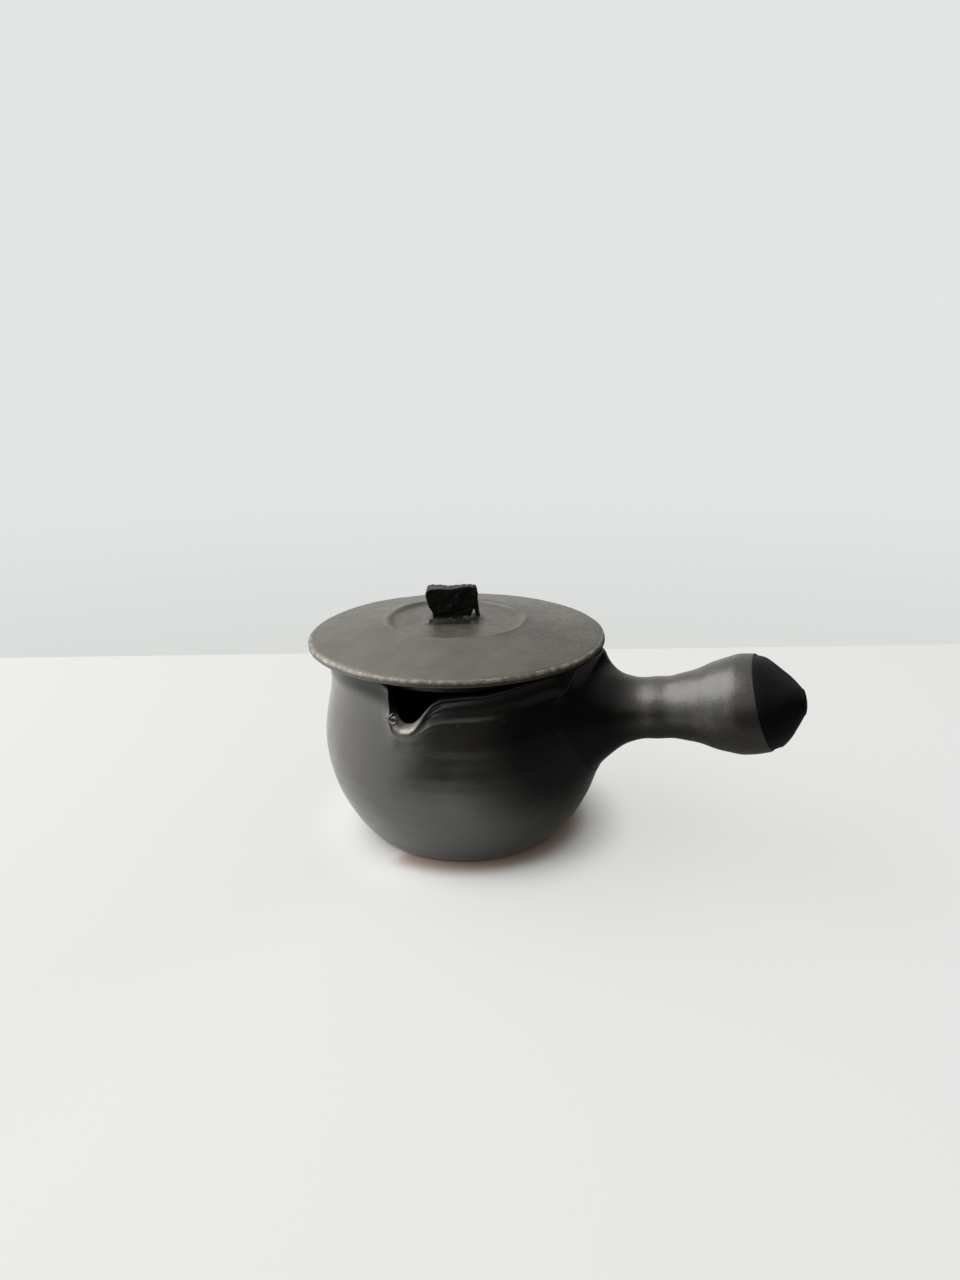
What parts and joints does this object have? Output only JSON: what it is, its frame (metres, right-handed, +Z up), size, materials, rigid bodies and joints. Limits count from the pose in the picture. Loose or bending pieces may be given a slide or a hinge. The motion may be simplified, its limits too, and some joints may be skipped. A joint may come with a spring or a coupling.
{
  "type": "milk pan",
  "caption": "Small round stoneware pouring pan with a torn pouring lip, a hollow bottle-shaped side handle and a flat loose lid with a folded clay knob.",
  "frame": {"origin": "the middle of the flat base that the pan stands on", "axes": "+Z up, +X from the pot's axis out along the handle, -Y out through the pouring lip"},
  "size_m": [0.2305, 0.14, 0.1177],
  "materials": {
    "black_stoneware": "satin black fired stoneware",
    "handle_stoneware": "satin black fired stoneware",
    "brown_grey_stoneware": "satin brown-grey fired stoneware",
    "lid_ring_stoneware": "matt unglazed stoneware",
    "knob_stoneware": "satin black fired stoneware"
  },
  "bodies": {
    "pot": {"bowl": "black_stoneware", "handle": "handle_stoneware"},
    "lid": {"lid_plate": "brown_grey_stoneware", "lid_locating_ring": "lid_ring_stoneware", "lid_knob": "knob_stoneware"}
  },
  "joints": [
    {"name": "lid_lift", "type": "slide", "parent": "pot", "child": "lid", "axis": [0, 0, 1], "range_m": [0, 0.15]}
  ]
}
